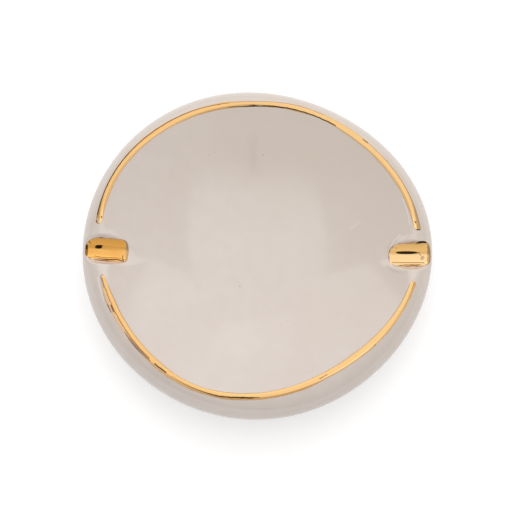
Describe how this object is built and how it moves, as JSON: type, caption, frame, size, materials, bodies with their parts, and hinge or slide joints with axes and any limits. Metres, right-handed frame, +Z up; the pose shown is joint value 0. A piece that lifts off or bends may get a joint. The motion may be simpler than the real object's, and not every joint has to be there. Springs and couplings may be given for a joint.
{
  "type": "ashtray",
  "caption": "Low round glazed ceramic ashtray with an incurved rim, a gilded rim line and gilded grooves left and right that hold a cigarette.",
  "frame": {"origin": "on the table, under the middle of the dish", "axes": "+Z up, +X from the left rest to the right rest, +Y to the back"},
  "size_m": [0.18, 0.1769, 0.0361],
  "materials": {
    "glazed_body": "warm greige gloss glaze over pale clay, with a few fine dark specks and a bare foot ring",
    "rim_gold": "bright fired gold lustre, brushed on by hand, pinkish where it thins at the edges",
    "rest_gold": "bright fired gold lustre with a little wear"
  },
  "bodies": {
    "root": {"ceramic_body": "glazed_body", "rim_gilding_back": "rim_gold", "rim_gilding_front": "rim_gold", "rest_gilding_left": "rest_gold", "rest_gilding_right": "rest_gold"}
  },
  "joints": []
}
